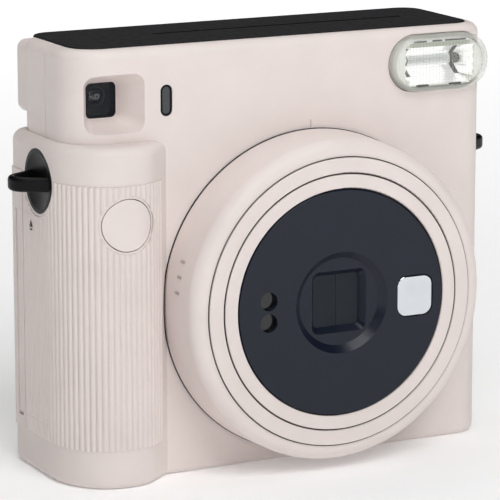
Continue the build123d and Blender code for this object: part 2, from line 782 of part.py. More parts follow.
with BuildPart() as eyepiece_frame:
    with BuildSketch(facing_front(26.0, FINDER_X, EYEPIECE_Z)):
        RectangleRounded(15.0, 12.0, 2.5)
    extrude(amount=-2.6)
    fillet(eyepiece_frame.faces().sort_by(Axis.Y)[-1].edges(), 0.6)
    with BuildSketch(facing_front(25.9, FINDER_X, EYEPIECE_Z)):
        RectangleRounded(9.2, 7.6, 1.4)
    extrude(amount=-4, mode=Mode.SUBTRACT)
    with BuildSketch(facing_front(25.9, FINDER_X, EYEPIECE_Z)):
        RectangleRounded(11.2, 9.6, 1.8)
    extrude(amount=-1.5, mode=Mode.SUBTRACT)
save(eyepiece_frame, "eyepiece_frame")

with BuildPart() as eyepiece_lens:
    with BuildSketch(facing_front(26.0, FINDER_X, EYEPIECE_Z)):
        RectangleRounded(11.0, 9.4, 1.7)
    extrude(amount=-1.3)
save(eyepiece_lens, "eyepiece_lens")


# Light meter
with BuildPart() as meter_window:
    with BuildSketch(facing_front(-8.4, METER_X, METER_Z)):
        SlotOverall(8.4, 3.3, rotation=90)
    extrude(amount=1.55)
    with BuildSketch(facing_front(-7.4, METER_X, METER_Z)):
        SlotOverall(10.4, 5.3, rotation=90)
    extrude(amount=0.8)
    with BuildSketch(facing_front(-8.2, METER_X, METER_Z)):
        SlotOverall(8.4, 3.3, rotation=90)
    extrude(amount=0.3)
save(meter_window, "meter_window")

# Flash
with BuildPart() as flash_window:
    with BuildSketch(facing_front(FLASH_BACK, FLASH_X, FLASH_Z)):
        SlotOverall(FLASH_LENGTH, FLASH_HEIGHT)
    extrude(amount=FLASH_BACK - FLASH_FRONT)
    fillet(flash_window.faces().sort_by(Axis.Y)[0].edges(), 1.3)
    with BuildSketch(facing_front(FLASH_BACK, FLASH_X, FLASH_Z)):
        SlotOverall(FLASH_LENGTH - 2 * FLASH_WALL, FLASH_HEIGHT - 2 * FLASH_WALL)
    extrude(amount=FLASH_BACK - FLASH_FRONT - 1.1, mode=Mode.SUBTRACT)
save(flash_window, "flash_window")


def reflector_section(y, width, height):
    """One rectangular section of the flash reflector."""
    with BuildSketch(facing_front(y, FLASH_X, FLASH_Z)) as section:
        Rectangle(width, height)
    return section.sketch


with BuildPart() as flash_reflector:
    add(reflector_section(-11.8, 20.8, 10.9))
    add(reflector_section(-3.6, 20.4, 5.4))
    loft()
    add(reflector_section(-11.9, 19.8, 9.9))
    add(reflector_section(-4.3, 19.4, 4.2))
    loft(mode=Mode.SUBTRACT)
    with Locations(Location((FLASH_X, -5.9, FLASH_Z), (0, 90, 0))):
        Cylinder(1.55, 24, mode=Mode.SUBTRACT)
save(flash_reflector, "flash_reflector")

with BuildPart() as flash_tube:
    with Locations(Location((FLASH_X, -5.9, FLASH_Z), (0, 90, 0))):
        Cylinder(1.5, 23)
save(flash_tube, "flash_tube")

with BuildPart() as flash_board:
    add(block((36.0, 59.4), (-2.6, -1.4), (99.6, 114.5)))
    add(block((38.0, 43.0), (-1.4, 1.2), (101.0, 105.0)))
    add(block((47.0, 51.0), (-1.4, 0.6), (109.0, 113.0)))
save(flash_board, "flash_board")

with BuildPart() as flash_capacitor:
    with Locations(Location((11.0, -1.6, 103.0), (0, 90, 0))):
        Cylinder(4.4, 32)
    fillet(flash_capacitor.edges().filter_by(GeomType.CIRCLE), 0.5)
save(flash_capacitor, "flash_capacitor")


# Film chassis: the box that the pack drops into, with the picture gate in front
with BuildPart() as film_chassis:
    chassis_x = (LENS_X - CHASSIS_HALF, LENS_X + CHASSIS_HALF)
    add(block(chassis_x, (CHASSIS_FRONT, CHASSIS_REAR), CHASSIS_Z))
    inside_x = (chassis_x[0] + 2.0, chassis_x[1] - 2.0)
    add(block(inside_x, (CHASSIS_FRONT + 2.0, CHASSIS_REAR + 1), (CHASSIS_Z[0] + 1.5, CHASSIS_Z[1] - 1.5)),
        mode=Mode.SUBTRACT)
    gate_x = (LENS_X - GATE / 2, LENS_X + GATE / 2)
    gate_z = (LENS_Z - GATE / 2, LENS_Z + GATE / 2)
    add(block(gate_x, (0, 12), gate_z), mode=Mode.SUBTRACT)
    add(block((LENS_X - 37.5, LENS_X + 37.5), (CHASSIS_FRONT + 2.0, 12.4), (95, 110)), mode=Mode.SUBTRACT)
    # Slot for the pick claw
    add(block((48, 53), (9.0, 12.0), (14.0, 27.0)), mode=Mode.SUBTRACT)
save(film_chassis, "film_chassis")

# Film pack and the ten films in it
pack_x = (LENS_X - PACK_HALF, LENS_X + PACK_HALF)
with BuildPart() as film_pack:
    add(block(pack_x, PACK_Y, PACK_Z))
    add(block((pack_x[0] + 1.2, pack_x[1] - 1.2), (PACK_Y[0] + 1.0, PACK_Y[1] - 1.2),
              (PACK_Z[0] + 1.2, PACK_Z[1] - 1.2)), mode=Mode.SUBTRACT)
    add(block((LENS_X - 32, LENS_X + 32), (PACK_Y[0] - 1, PACK_Y[0] + 2), (LENS_Z - 32, LENS_Z + 32)),
        mode=Mode.SUBTRACT)
    add(block((LENS_X - 36.6, LENS_X + 36.6), (PACK_Y[0] + 1.0, PACK_Y[0] + 2.4), (97, 101)),
        mode=Mode.SUBTRACT)
    # Notch for the pick claw
    add(block((47.2, 50), (9.0, 12.0), (13.0, 28.0)), mode=Mode.SUBTRACT)
save(film_pack, "film_pack")

FILM_SIZE = (72.0, 86.0)
FILM_COUNT = 10
with BuildPart() as film_sheets:
    for sheet in range(FILM_COUNT):
        sheet_y = PACK_Y[0] + 1.8 + sheet * 0.7
        add(block((LENS_X - FILM_SIZE[0] / 2, LENS_X + FILM_SIZE[0] / 2), (sheet_y - 0.6, sheet_y),
                  (PACK_Z[0] + 1.6, PACK_Z[0] + 1.6 + FILM_SIZE[1])))
save(film_sheets, "film_sheets")


# Roller brackets, one at each end, with the bearing holes
DRIVE_Y = FILM_Y - ROLLER_RADIUS - 0.12
PINCH_Y = FILM_Y + ROLLER_RADIUS + 0.12
SHAFT_RADIUS = 1.0
with BuildPart() as roller_brackets:
    for x in (-32.2, 49.7):
        add(block((x, x + 1.5), (4.0, 17.5), (101.5, 114.8)))
    with BuildSketch(facing_side(-40)):
        with Locations((DRIVE_Y, ROLLER_Z), (PINCH_Y, ROLLER_Z)):
            Circle(SHAFT_RADIUS + 0.05)
        with Locations((FLAP_Y, FLAP_Z)):
            Circle(0.6)
    extrude(amount=100, mode=Mode.SUBTRACT)
save(roller_brackets, "roller_brackets")


def roller(y, shaft_end):
    """An eject roller with its shaft."""
    with BuildPart() as turned_roller:
        with BuildSketch(facing_side(ROLLER_X[0])):
            with Locations((y, ROLLER_Z)):
                Circle(ROLLER_RADIUS)
        extrude(amount=ROLLER_X[1] - ROLLER_X[0])
        with BuildSketch(facing_side(-32.0)):
            with Locations((y, ROLLER_Z)):
                Circle(SHAFT_RADIUS)
        extrude(amount=shaft_end + 32.0)
    return turned_roller


drive_roller = roller(DRIVE_Y, 55.0)
save(drive_roller, "drive_roller")
pinch_roller = roller(PINCH_Y, 51.0)
save(pinch_roller, "pinch_roller")


# Gears


def involute_angle(radius, base):
    """Angle that an involute has turned through when it reaches a radius."""
    if radius <= base:
        return 0.0
    ratio = sqrt(radius * radius - base * base) / base
    return ratio - atan2(ratio, 1.0)


def gear_outline(teeth, phase, at):
    """A closed gear outline in Y and Z, with a tooth pointing at the phase angle."""
    pitch = MODULE * teeth / 2
    base = pitch * cos(radians(20))
    tip = pitch + 0.9 * MODULE
    root = pitch - 1.15 * MODULE
    half = pi / teeth * 0.47
    at_pitch = involute_angle(pitch, base)
    points = []
    for tooth in range(teeth):
        middle = phase + 2 * pi * tooth / teeth
        flank = []
        for step in range(4):
            radius = max(root, base) + (tip - max(root, base)) * step / 3
            flank.append((radius, half + at_pitch - involute_angle(radius, base)))
        low = [(root, flank[0][1])] if root < base else []
        side = low + flank
        for radius, angle in side:
            points.append((radius, middle - angle))
        for radius, angle in reversed(side):
            points.append((radius, middle + angle))
    return [(at[0] + r * cos(a), at[1] + r * sin(a)) for r, a in points]


def gear(piece_x, teeth, phase, at):
    """A spur gear between two X limits."""
    with BuildPart() as wheel:
        with BuildSketch(facing_side(piece_x[0])):
            with BuildLine():
                Polyline(*gear_outline(teeth, phase, at), close=True)
            make_face()
        extrude(amount=piece_x[1] - piece_x[0])
    return wheel.part


def cylinder_x(x, at, radius):
    """A round bar along X between two limits, at a Y and Z."""
    with BuildPart() as bar:
        with BuildSketch(facing_side(x[0])):
            with Locations(at):
                Circle(radius)
        extrude(amount=x[1] - x[0])
    return bar.part


def towards(start, end):
    """Angle from one axis to another, in the plane of Y and Z."""
    return atan2(end[1] - start[1], end[0] - start[0])


ROLLER_AXIS = (DRIVE_Y, ROLLER_Z)
wheel_reach = MODULE * (PINION_TEETH + WHEEL_TEETH) / 2
small_reach = MODULE * (SMALL_TEETH + ROLLER_TEETH) / 2
across_y = ROLLER_AXIS[0] - PINION_AXIS[0]
across_z = ROLLER_AXIS[1] - PINION_AXIS[1]
span = sqrt(across_y ** 2 + across_z ** 2)
along_span = (wheel_reach ** 2 - small_reach ** 2 + span ** 2) / (2 * span)
off_span = sqrt(wheel_reach ** 2 - along_span ** 2)
WHEEL_AXIS = (
    PINION_AXIS[0] + (along_span * across_y + off_span * across_z) / span,
    PINION_AXIS[1] + (along_span * across_z - off_span * across_y) / span,
)

with BuildPart() as roller_gear:
    add(gear((52.7, 54.9), ROLLER_TEETH, towards(ROLLER_AXIS, WHEEL_AXIS), ROLLER_AXIS))
    add(cylinder_x((50, 60), ROLLER_AXIS, SHAFT_RADIUS), mode=Mode.SUBTRACT)
save(roller_gear, "roller_gear")

small_phase = towards(WHEEL_AXIS, ROLLER_AXIS) + pi / SMALL_TEETH
wheel_phase = towards(WHEEL_AXIS, PINION_AXIS)
with BuildPart() as reduction_gear:
    add(gear((52.5, 55.4), SMALL_TEETH, small_phase, WHEEL_AXIS))
    add(gear((55.4, 57.4), WHEEL_TEETH, wheel_phase, WHEEL_AXIS))
    add(cylinder_x((50, 60), WHEEL_AXIS, 1.05), mode=Mode.SUBTRACT)
save(reduction_gear, "reduction_gear")

pinion_phase = towards(PINION_AXIS, WHEEL_AXIS) + pi / PINION_TEETH
with BuildPart() as motor_pinion:
    add(gear((55.2, 57.8), PINION_TEETH, pinion_phase, PINION_AXIS))
    add(cylinder_x((50.9, 55.2), PINION_AXIS, 0.75))
save(motor_pinion, "motor_pinion")

with BuildPart() as motor:
    add(cylinder_x((33.0, 50.0), PINION_AXIS, 5.0))
    fillet(motor.edges().filter_by(GeomType.CIRCLE), 0.6)
    add(cylinder_x((49.9, 50.8), PINION_AXIS, 2.0))
    add(cylinder_x((32.0, 33.1), PINION_AXIS, 1.8))
save(motor, "motor")

with BuildPart() as gear_plate:
    add(block((60.0, 61.2), (-4.0, 18.0), (86.0, 98.0)))
    add(block((60.0, 61.2), (3.0, 18.0), (98.0, 112.0)))
    add(cylinder_x((52.2, 60.5), WHEEL_AXIS, 1.0))
save(gear_plate, "gear_plate")


# Pick claw, which lifts the front film into the rollers
with BuildPart() as pick_claw:
    add(block((52.2, 53.4), (7.0, 15.0), (12.0, 34.0)))
    add(block((48.9, 52.4), (9.6, 11.4), (15.0, 18.0)))
save(pick_claw, "pick_claw")


# Back door
knuckle = DOOR_THICK * cos(radians(45))
with BuildPart() as back_door:
    with BuildSketch(Plane.XY.offset(DOOR_Z[0])):
        with BuildLine():
            Polyline((DOOR_LEFT, HINGE_Y), (DOOR_LEFT, REAR), (HINGE_X, REAR))
            ThreePointArc((HINGE_X, REAR), (HINGE_X + knuckle, HINGE_Y - knuckle),
                          (HINGE_X - DOOR_THICK, HINGE_Y))
            Line((HINGE_X - DOOR_THICK, HINGE_Y), (DOOR_LEFT, HINGE_Y))
        make_face()
    extrude(amount=DOOR_Z[1] - DOOR_Z[0])
    fillet(back_door.faces().sort_by(Axis.X)[0].edges().filter_by(Axis.Y), DOOR_CORNER)
    # Clear the cover's hinge ear
    add(block((55.5, 60.4), (20, 30), (EAR_Z[0] - 0.3, EAR_Z[1] + 0.3)), mode=Mode.SUBTRACT)
    with BuildSketch(Plane.XY.offset(DOOR_Z[0] - 1)):
        with Locations((HINGE_X, HINGE_Y)):
            Circle(1.07)
    extrude(amount=110, mode=Mode.SUBTRACT)
    # Openings for the pack window and the counter
    with BuildSketch(facing_front(24)):
        with Locations((-8.0, 62.0)):
            RectangleRounded(7.0, 26.0, 2.0)
        with Locations((COUNTER_X, COUNTER_Z + 6.3)):
            RectangleRounded(6.4, 4.6, 1.2)
    extrude(amount=-8, mode=Mode.SUBTRACT)
    # Stud for the counter disc
    with BuildSketch(facing_front(HINGE_Y + 0.1)):
        with Locations((COUNTER_X, COUNTER_Z)):
            Circle(1.2)
    extrude(amount=3.0)
save(back_door, "back_door")

with BuildPart() as door_windows:
    with BuildSketch(facing_front(HINGE_Y + 0.6)):
        with Locations((-8.0, 62.0)):
            RectangleRounded(6.8, 25.8, 1.9)
        with Locations((COUNTER_X, COUNTER_Z + 6.3)):
            RectangleRounded(6.2, 4.4, 1.1)
    extrude(amount=-1.2)
save(door_windows, "door_windows")

with BuildPart() as counter_disc:
    with BuildSketch(facing_front(24.6)):
        with Locations((COUNTER_X, COUNTER_Z)):
            Circle(9.0)
            Circle(1.26, mode=Mode.SUBTRACT)
    extrude(amount=1.2)
save(counter_disc, "counter_disc")


def leaf_spring(x, z):
    """A bowed strip on the door that presses on the back of the film pack."""
    base = HINGE_Y - 0.02
    with BuildPart() as leaf:
        with BuildSketch(Plane.XY.offset(z - 4)):
            with BuildLine():
                ThreePointArc((x - 11, base), (x, PACK_Y[1] + 0.3), (x + 11, base))
                Line((x + 11, base), (x + 10.3, base))
                ThreePointArc((x + 10.3, base), (x, PACK_Y[1] + 0.65), (x - 10.3, base))
                Line((x - 10.3, base), (x - 11, base))
            make_face()
        extrude(amount=8)
    return leaf.part


with BuildPart() as pressure_springs:
    add(leaf_spring(22.0, 78.0))
    add(leaf_spring(22.0, 44.0))
save(pressure_springs, "pressure_springs")


# Door latch: a thumb slider on the rear wall, with a tongue towards the door
with BuildPart() as door_latch:
    with BuildSketch(facing_front(26.8)):
        with Locations((-41.8, 57.4)):
            RectangleRounded(6.4, 13.6, 1.6)
    extrude(amount=-1.7)
    fillet(door_latch.faces().sort_by(Axis.Y)[-1].edges(), 0.5)
    add(block((-42.9, -40.7), (25.0, 27.0), (53.8, 60.6)))
    add(block((-46.0, -36.9), (24.2, 25.5), (52.6, 61.4)))
save(door_latch, "door_latch")


# Battery compartment
with BuildPart() as battery_holder:
    add(block((-62.4, -45.3), (1.4, 21.0), (12.8, 74.6)))
    add(block((-70, -46.8), (2.9, 19.5), (14.3, 73.1)), mode=Mode.SUBTRACT)
save(battery_holder, "battery_holder")

BATTERY_LENGTH = 25.5
BATTERY_NUB = 1.5
BATTERY_BASE = 17.2
with BuildPart() as batteries:
    for number in range(2):
        foot = BATTERY_BASE + number * (BATTERY_LENGTH + BATTERY_NUB + 0.02)
        with Locations((BATTERY_X, BATTERY_Y, foot)):
            Cylinder(BATTERY_RADIUS, BATTERY_LENGTH, align=(Align.CENTER, Align.CENTER, Align.MIN))
        with Locations((BATTERY_X, BATTERY_Y, foot + BATTERY_LENGTH)):
            Cylinder(3.0, BATTERY_NUB, align=(Align.CENTER, Align.CENTER, Align.MIN))
save(batteries, "batteries")

with BuildPart() as battery_contacts:
    add(block((BATTERY_X - 5, BATTERY_X + 5), (BATTERY_Y - 5, BATTERY_Y + 5), (14.3, 14.7)))
    add(block((BATTERY_X - 5, BATTERY_X + 5), (BATTERY_Y - 5, BATTERY_Y + 5), (72.6, 73.0)))
    with Locations((BATTERY_X, BATTERY_Y, 71.3)):
        Cylinder(2.4, 1.35, align=(Align.CENTER, Align.CENTER, Align.MIN))
    with BuildLine() as coil:
        Helix(pitch=0.9, height=2.2, radius=4.0, center=(BATTERY_X, BATTERY_Y, 14.6))
    with BuildSketch(Plane(origin=coil.line @ 0, z_dir=coil.line % 0)):
        Circle(0.28)
    sweep()
save(battery_contacts, "battery_contacts")

with BuildPart() as battery_door:
    add(RIBS)
    add(block((-70, GRIP_SIDE + 0.5), (BATTERY_DOOR_Y[0], BATTERY_HINGE_Y), BATTERY_DOOR_Z),
        mode=Mode.INTERSECT)
    add(block((GRIP_SIDE, GRIP_SIDE + BATTERY_DOOR_THICK), (BATTERY_DOOR_Y[0], BATTERY_HINGE_Y),
              BATTERY_DOOR_Z))
    with Locations((BATTERY_HINGE_X, BATTERY_HINGE_Y, sum(BATTERY_DOOR_Z) / 2)):
        Cylinder(BATTERY_KNUCKLE, BATTERY_DOOR_Z[1] - BATTERY_DOOR_Z[0])
        Cylinder(BATTERY_PIN_RADIUS + 0.05, BATTERY_PIN_LENGTH, mode=Mode.SUBTRACT)
save(battery_door, "battery_door")

# Hinge pins of the back door and of the battery door
with BuildPart() as hinge_pins:
    with Locations((HINGE_X, HINGE_Y, DOOR_Z[0] + 0.3)):
        Cylinder(1.0, DOOR_Z[1] - DOOR_Z[0] - 0.6, align=(Align.CENTER, Align.CENTER, Align.MIN))
    with Locations((BATTERY_HINGE_X, BATTERY_HINGE_Y, sum(BATTERY_DOOR_Z) / 2)):
        Cylinder(BATTERY_PIN_RADIUS, BATTERY_PIN_LENGTH)
save(hinge_pins, "hinge_pins")


# Main board
with BuildPart() as main_board:
    add(block((-44.6, -43.2), (-2.2, 20.0), (8.0, 86.0)))
    for y, z, size in ((5.0, 30.0, 9.0), (8.0, 55.0, 7.0), (3.0, 72.0, 5.0)):
        add(block((-43.2, -41.8), (y - size / 2, y + size / 2), (z - size / 2, z + size / 2)))
save(main_board, "main_board")


# Strap lugs: a dished disc with an arched bar across it


def lug_corner(foot_x, foot_y, bend, tip_x):
    """X where the bar's two straight legs would meet, so that its rounded tip is at tip_x."""
    corner_x = tip_x
    for _ in range(20):
        slope = atan2(foot_y, corner_x - foot_x)
        corner_x = tip_x + bend * (1 / sin(slope) - 1)
    return corner_x


def strap_lug(surface):
    """A strap lug on the right side wall, whose surface is at the given X."""
    dish_radius = 24.0
    dish_depth = 1.3
    bar_depth = 2.2
    bend = 3.6
    foot_x = surface - 1.0
    foot_y = 6.6
    corner_x = lug_corner(foot_x, foot_y, bend, LUG_OUT - bar_depth / 2)
    with BuildPart() as lug:
        with BuildSketch(facing_side(surface)):
            with Locations((LUG_Y, LUG_Z)):
                Circle(LUG_RADIUS)
        extrude(amount=-2.2)
        with Locations((surface + dish_radius - dish_depth, LUG_Y, LUG_Z)):
            Sphere(dish_radius, mode=Mode.SUBTRACT)
        with BuildLine() as arch:
            FilletPolyline((foot_x, LUG_Y - foot_y, LUG_Z), (corner_x, LUG_Y, LUG_Z),
                           (foot_x, LUG_Y + foot_y, LUG_Z), radius=bend)
        with BuildSketch(Plane(origin=arch.line @ 0, x_dir=(0, 0, 1), z_dir=arch.line % 0)):
            SlotOverall(4.0, bar_depth)
        sweep()
    return lug.part


with BuildPart() as strap_lugs:
    add(strap_lug(-GRIP_SIDE))
    mirror(about=Plane.YZ, mode=Mode.REPLACE)
    add(strap_lug(RIGHT))
save(strap_lugs, "strap_lugs")


# Case screws in the base
with BuildPart() as case_screws:
    for x, y in SCREW_SPOTS_FRONT + SCREW_SPOTS_REAR:
        with Locations((x, y, 0.25)):
            Cylinder(1.95, 0.8, align=(Align.CENTER, Align.CENTER, Align.MIN))
        with Locations((x, y, 1.0)):
            Cylinder(1.0, 3.5, align=(Align.CENTER, Align.CENTER, Align.MIN))
        with Locations((x, y, 0.25)):
            Box(0.5, 2.4, 0.9, mode=Mode.SUBTRACT)
            Box(2.4, 0.5, 0.9, mode=Mode.SUBTRACT)
save(case_screws, "case_screws")
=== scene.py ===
"""Instant camera: materials, small visible detail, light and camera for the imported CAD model."""

import math

import bmesh
import bpy
from mathutils import Matrix, Vector


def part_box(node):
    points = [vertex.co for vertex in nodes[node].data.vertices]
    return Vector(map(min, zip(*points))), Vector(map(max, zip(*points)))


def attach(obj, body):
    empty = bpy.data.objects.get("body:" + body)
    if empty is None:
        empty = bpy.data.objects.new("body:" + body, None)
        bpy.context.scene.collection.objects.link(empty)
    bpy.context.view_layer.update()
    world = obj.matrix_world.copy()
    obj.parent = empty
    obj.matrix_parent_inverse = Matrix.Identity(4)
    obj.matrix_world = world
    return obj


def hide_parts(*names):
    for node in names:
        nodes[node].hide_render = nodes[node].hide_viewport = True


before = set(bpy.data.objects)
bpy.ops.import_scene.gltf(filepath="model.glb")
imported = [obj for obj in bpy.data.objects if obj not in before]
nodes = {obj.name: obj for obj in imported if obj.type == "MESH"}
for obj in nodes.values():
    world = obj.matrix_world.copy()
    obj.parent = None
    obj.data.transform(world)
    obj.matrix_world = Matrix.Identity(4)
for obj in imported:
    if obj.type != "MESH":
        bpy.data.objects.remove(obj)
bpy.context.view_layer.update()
MM = 0.001


def linear(r, g, b):
    """An sRGB colour, 0 to 255, as the linear colour that shaders take."""
    out = []
    for value in (r, g, b):
        c = value / 255
        out.append(c / 12.92 if c <= 0.04045 else ((c + 0.055) / 1.055) ** 2.4)
    return (*out, 1.0)


def grey(value):
    return (value, value, value, 1.0)


def shade(colour, factor):
    """A colour made darker or lighter."""
    return tuple(min(1.0, c * factor) for c in colour[:3]) + (1.0,)


# Materials. Scales are in features a metre; bump distances are in metres.

NOISE_LOW, NOISE_HIGH = 0.3, 0.7  # most of a noise lies between these


class Graph:
    """A short way to build a material's node tree."""

    def __init__(self, name):
        self.material = bpy.data.materials.new(name)
        self.material.use_nodes = True
        self.tree = self.material.node_tree
        self.shader = self.tree.nodes["Principled BSDF"]
        coordinates = self.tree.nodes.new("ShaderNodeTexCoord")
        self.coordinates = coordinates.outputs["Object"]
        self.normal = coordinates.outputs["Normal"]
        self.generated = coordinates.outputs["Generated"]

    def link(self, output, socket):
        self.tree.links.new(output, socket)

    def noise(self, scale, detail=3.0, stretch=None):
        """Noise, optionally stretched along an axis."""
        node = self.tree.nodes.new("ShaderNodeTexNoise")
        node.inputs["Scale"].default_value = scale
        node.inputs["Detail"].default_value = detail
        if stretch is None:
            self.link(self.coordinates, node.inputs["Vector"])
        else:
            mapping = self.tree.nodes.new("ShaderNodeMapping")
            mapping.inputs["Scale"].default_value = stretch
            self.link(self.coordinates, mapping.inputs["Vector"])
            self.link(mapping.outputs["Vector"], node.inputs["Vector"])
        return node.outputs["Fac"]

    def cells(self, scale):
        """Distance to the cell points of a Voronoi pattern."""
        node = self.tree.nodes.new("ShaderNodeTexVoronoi")
        node.inputs["Scale"].default_value = scale
        self.link(self.coordinates, node.inputs["Vector"])
        return node.outputs["Distance"]

    def waves(self, scale, direction):
        """Straight parallel bands along one object axis."""
        node = self.tree.nodes.new("ShaderNodeTexWave")
        node.bands_direction = direction
        node.inputs["Scale"].default_value = scale
        self.link(self.coordinates, node.inputs["Vector"])
        return node.outputs["Fac"]

    def axes(self, vector):
        """The X, Y and Z of a vector."""
        node = self.tree.nodes.new("ShaderNodeSeparateXYZ")
        self.link(vector, node.inputs["Vector"])
        return node.outputs["X"], node.outputs["Y"], node.outputs["Z"]

    def math(self, operation, a, b=0.0):
        """One step of arithmetic; each value is a number or another node's output."""
        node = self.tree.nodes.new("ShaderNodeMath")
        node.operation = operation
        for socket, value in zip(node.inputs, (a, b)):
            if isinstance(value, (int, float)):
                socket.default_value = value
            else:
                self.link(value, socket)
        return node.outputs[0]

    def ramp(self, factor, low, high):
        """A noise spread between two colours."""
        node = self.tree.nodes.new("ShaderNodeValToRGB")
        ends = node.color_ramp.elements
        ends[0].position, ends[1].position = NOISE_LOW, NOISE_HIGH
        ends[0].color, ends[1].color = low, high
        self.link(factor, node.inputs["Fac"])
        return node.outputs["Color"]

    def range(self, factor, low, high, start=NOISE_LOW, end=NOISE_HIGH):
        """A factor spread between two plain values, which it reaches at start and end."""
        node = self.tree.nodes.new("ShaderNodeMapRange")
        node.inputs["From Min"].default_value = start
        node.inputs["From Max"].default_value = end
        node.inputs["To Min"].default_value = low
        node.inputs["To Max"].default_value = high
        self.link(factor, node.inputs["Value"])
        return node.outputs["Result"]

    def bump(self, height, strength, distance):
        """Adds a bump; several stack on each other."""
        node = self.tree.nodes.new("ShaderNodeBump")
        node.inputs["Strength"].default_value = strength
        node.inputs["Distance"].default_value = distance
        self.link(height, node.inputs["Height"])
        normal = self.shader.inputs["Normal"]
        if normal.is_linked:
            self.link(normal.links[0].from_socket, node.inputs["Normal"])
        self.link(node.outputs["Normal"], normal)

    def painted_gap_shade(self, colour, reach, gap_shade_amount):
        """Painted shade: the colour, darkened by ambient occlusion in joints and grooves narrower
        than about this many metres.
        """
        node = self.tree.nodes.new("ShaderNodeAmbientOcclusion")
        node.samples = 8
        node.inputs["Distance"].default_value = reach
        self.link(colour, node.inputs["Color"])
        mix = self.tree.nodes.new("ShaderNodeMixRGB")
        mix.inputs["Fac"].default_value = gap_shade_amount
        self.link(colour, mix.inputs["Color1"])
        self.link(node.outputs["Color"], mix.inputs["Color2"])
        return mix.outputs["Color"]

    def set(self, **values):
        """Sets the shader's own sockets, named with underscores for spaces."""
        for name, value in values.items():
            self.shader.inputs[name.replace("_", " ")].default_value = value

    def colour(self, output):
        self.link(output, self.shader.inputs["Base Color"])

    def roughness(self, output):
        self.link(output, self.shader.inputs["Roughness"])

    def flow_lines(self, colour, dimmest, rough):
        """Clear moulded plastic's or glass's faint unevenness in tint, gloss and surface."""
        tint = self.noise(scale=200.0, detail=2.0)
        self.colour(self.ramp(tint, shade(colour, dimmest), shade(colour, 1.0)))
        self.roughness(self.range(self.noise(scale=400.0), rough * 0.6, rough * 1.6))
        self.bump(self.noise(scale=90.0, detail=1.0), strength=0.04, distance=0.00005)


def moulded(name, colour, rough, grain=3200.0, strength=0.5, spread=0.03, glow=0.0, shine=0.45,
            joints=0.0, gap_shade_amount=1.0):
    """Moulded plastic: a fine spark-eroded grain, soft mottling, uneven gloss, and painted shade
    in narrow gaps where asked.
    """
    g = Graph(name)
    mottling = g.noise(scale=90.0, detail=4.0)
    tone = g.ramp(mottling, shade(colour, 1 - spread), shade(colour, 1 + spread / 2))
    # Painted shade: ambient occlusion darkens the colour in narrow gaps and grooves.
    g.colour(g.painted_gap_shade(tone, joints, gap_shade_amount) if joints else tone)
    g.roughness(g.range(g.noise(scale=240.0), rough - 0.05, rough + 0.05))
    g.bump(g.noise(scale=grain, detail=2.0), strength, distance=0.00002)
    g.bump(g.noise(scale=35.0, detail=2.0), strength=0.15, distance=0.0001)
    # A glow is painted light: the plastic gives off light in its own colour.
    g.set(Specular_IOR_Level=shine, Emission_Color=colour, Emission_Strength=glow)
    return g.material


def gloss(name, colour, rough, coat, shine=0.5):
    """Glossy coloured plastic or paint, with a faint orange peel and fine speckle."""
    g = Graph(name)
    g.colour(g.ramp(g.noise(scale=160.0), shade(colour, 0.94), shade(colour, 1.06)))
    g.roughness(g.range(g.noise(scale=420.0, detail=4.0), rough - 0.03, rough + 0.04))
    g.bump(g.noise(scale=260.0, detail=1.0), strength=0.05, distance=0.00004)
    g.set(Coat_Weight=coat, Coat_Roughness=0.08, Specular_IOR_Level=shine)
    return g.material


def grained(name, colour, rough):
    """Textured plastic, with a leather-like pebble grain."""
    g = Graph(name)
    g.colour(g.ramp(g.noise(scale=300.0), shade(colour, 0.86), shade(colour, 1.12)))
    g.roughness(g.range(g.noise(scale=500.0), rough - 0.06, rough + 0.08))
    g.bump(g.cells(scale=1500.0), strength=0.5, distance=0.00005)
    g.bump(g.noise(scale=2600.0, detail=2.0), strength=0.3, distance=0.00002)
    g.set(Specular_IOR_Level=0.3)
    return g.material


def brushed(name, colour, rough):
    """Brushed or drawn metal with fine scratches along X."""
    g = Graph(name)
    lines = g.noise(scale=1.0, detail=4.0, stretch=(40.0, 900.0, 900.0))
    g.colour(g.ramp(lines, shade(colour, 0.86), shade(colour, 1.06)))
    g.roughness(g.range(lines, rough - 0.06, rough + 0.1))
    g.bump(lines, strength=0.12, distance=0.00002)
    g.set(Metallic=1.0)
    return g.material


def polished(name, colour, rough, metal=1.0, glow=0.0):
    """Polished or vacuum-plated metal with faint waviness and haze."""
    g = Graph(name)
    g.colour(g.ramp(g.noise(scale=120.0, detail=2.0), shade(colour, 0.95), shade(colour, 1.02)))
    g.roughness(g.range(g.noise(scale=350.0), rough * 0.7, rough * 1.4))
    g.bump(g.noise(scale=180.0, detail=1.0), strength=0.06, distance=0.00005)
    # A glow is painted light: the plate gives off light in its own colour.
    g.set(Metallic=metal, Emission_Color=colour, Emission_Strength=glow)
    return g.material


def refracting(name, colour, rough, ior):
    """Clear optical glass."""
    g = Graph(name)
    g.flow_lines(colour, 0.97, rough)
    g.set(Transmission_Weight=1.0, IOR=ior)
    return g.material


def see_through(name, colour, rough, front, wall):
    """Thin clear plastic: open on its front face, and milkier on the walls round it."""
    g = Graph(name)
    g.flow_lines(colour, 0.96, rough)
    _, y, _ = g.axes(g.normal)
    alpha = g.range(g.math("ABSOLUTE", y), wall, front, start=0.45, end=0.97)
    g.link(alpha, g.shader.inputs["Alpha"])
    return g


